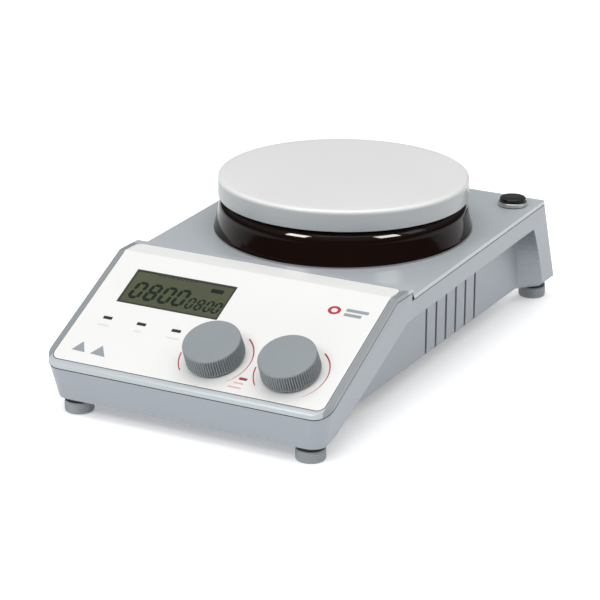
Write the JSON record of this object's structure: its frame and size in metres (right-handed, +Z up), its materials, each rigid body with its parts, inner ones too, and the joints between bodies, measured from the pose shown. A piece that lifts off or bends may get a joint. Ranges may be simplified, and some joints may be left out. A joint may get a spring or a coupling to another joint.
{
  "type": "heated magnetic stirrer",
  "caption": "Bench stirrer with a round ceramic-faced hot plate on a dark skirt, a sloping console with display and push knobs, feet and a support-rod socket.",
  "frame": {"origin": "centre of the footprint's box, on the surface the feet stand on", "axes": "+Z up, -Y towards the console and the user, +X to the user's right"},
  "size_m": [0.161, 0.292, 0.0918],
  "materials": {
    "housing_paint": "satin",
    "cover_paint": "satin",
    "panel_white": "satin",
    "plate_ceramic": "satin white glaze",
    "skirt_black": "gloss",
    "seat_grey": "satin",
    "knob_grey": "matte",
    "display_glass": "gloss, dark olive",
    "display_body": "matte",
    "indicator_black": "gloss",
    "foot_grey": "matte",
    "neck_black": "matte",
    "screw_steel": "zinc plated",
    "panel_metal": "satin",
    "board_green": "solder mask",
    "black_plastic": "matte",
    "brass_part": "plain",
    "steel_part": "machined",
    "aluminium_part": "plain",
    "copper_winding": "enamelled copper wire",
    "mica": "pressed mineral board",
    "heater_film": "matte",
    "magnet_grey": "sintered",
    "boss_silver": "plated",
    "cap_black": "gloss",
    "glass_tube": "clear",
    "white_plastic": "matte",
    "ribbon_grey": "matte"
  },
  "bodies": {
    "base": {"lower_housing": "housing_paint", "upper_cover": "cover_paint", "bottom_plate": "panel_metal", "bottom_screws": "screw_steel", "case_screws": "screw_steel", "feet": "foot_grey", "foot_necks": "neck_black", "foot_screws": "screw_steel", "rear_panel": "panel_metal", "rear_panel_screws": "screw_steel", "control_panel": "panel_white", "display_window": "display_glass", "display_module": "display_body", "indicator_windows": "indicator_black", "control_board": "board_green", "control_board_posts": "brass_part", "encoder_bodies": "black_plastic", "encoder_bushings": "steel_part", "encoder_nuts": "steel_part", "work_plate": "plate_ceramic", "heating_element": "heater_film", "insulation_disc": "mica", "heat_shield": "steel_part", "plate_standoffs": "steel_part", "temperature_sensor": "brass_part", "heater_leads": "white_plastic", "heater_skirt": "skirt_black", "skirt_seat_ring": "seat_grey", "chassis_plate": "steel_part", "chassis_posts": "steel_part", "motor_housing": "steel_part", "motor_stator": "copper_winding", "motor_bearings": "steel_part", "power_board": "board_green", "transformer": "black_plastic", "heat_sink": "aluminium_part", "capacitors": "black_plastic", "ribbon_cable": "ribbon_grey", "rod_socket": "boss_silver", "power_inlet": "black_plastic", "inlet_pins": "brass_part", "switch_frame": "black_plastic", "sensor_socket": "black_plastic", "data_port": "steel_part"},
    "heat_plunger": {"heat_plunger": "white_plastic"},
    "heat_knob": {"heat_knob": "knob_grey", "heat_shaft": "aluminium_part"},
    "speed_plunger": {"speed_plunger": "white_plastic"},
    "speed_knob": {"speed_knob": "knob_grey", "speed_shaft": "aluminium_part"},
    "drive_rotor": {"motor_shaft": "steel_part", "motor_rotor": "magnet_grey", "magnet_carrier": "aluminium_part", "drive_magnets": "magnet_grey"},
    "rod_cap": {"rod_cap": "cap_black"},
    "fuse_drawer": {"fuse_drawer": "black_plastic", "fuse": "glass_tube"},
    "switch_rocker": {"switch_rocker": "black_plastic"}
  },
  "joints": [
    {"name": "heat_knob_push", "type": "slide", "parent": "base", "child": "heat_plunger", "axis": [0, 0.4321, -0.9018], "range_m": [0, 0.0007], "stiffness_N_per_m": 2500, "springref_m": -0.0006},
    {"name": "heat_knob_turn", "type": "hinge", "parent": "heat_plunger", "child": "heat_knob", "pos_m": [0.008, -0.12447, 0.0386], "axis": [0, -0.4321, 0.9018], "continuous": true},
    {"name": "speed_knob_push", "type": "slide", "parent": "base", "child": "speed_plunger", "axis": [0, 0.4321, -0.9018], "range_m": [0, 0.0007], "stiffness_N_per_m": 2500, "springref_m": -0.0006},
    {"name": "speed_knob_turn", "type": "hinge", "parent": "speed_plunger", "child": "speed_knob", "pos_m": [0.0502, -0.12447, 0.0386], "axis": [0, -0.4321, 0.9018], "continuous": true},
    {"name": "rotor_spin", "type": "hinge", "parent": "base", "child": "drive_rotor", "pos_m": [0, 0.029, 0], "axis": [0, 0, 1], "continuous": true},
    {"name": "cap_lift", "type": "slide", "parent": "base", "child": "rod_cap", "axis": [0, 0, 1], "range_m": [0, 0.03]},
    {"name": "fuse_drawer_slide", "type": "slide", "parent": "base", "child": "fuse_drawer", "axis": [0, 1, 0], "range_m": [0, 0.015]},
    {"name": "power_switch_rock", "type": "hinge", "parent": "base", "child": "switch_rocker", "pos_m": [0, 0.118, 0.036], "axis": [1, 0, 0], "range_deg": [-18, 0]}
  ]
}
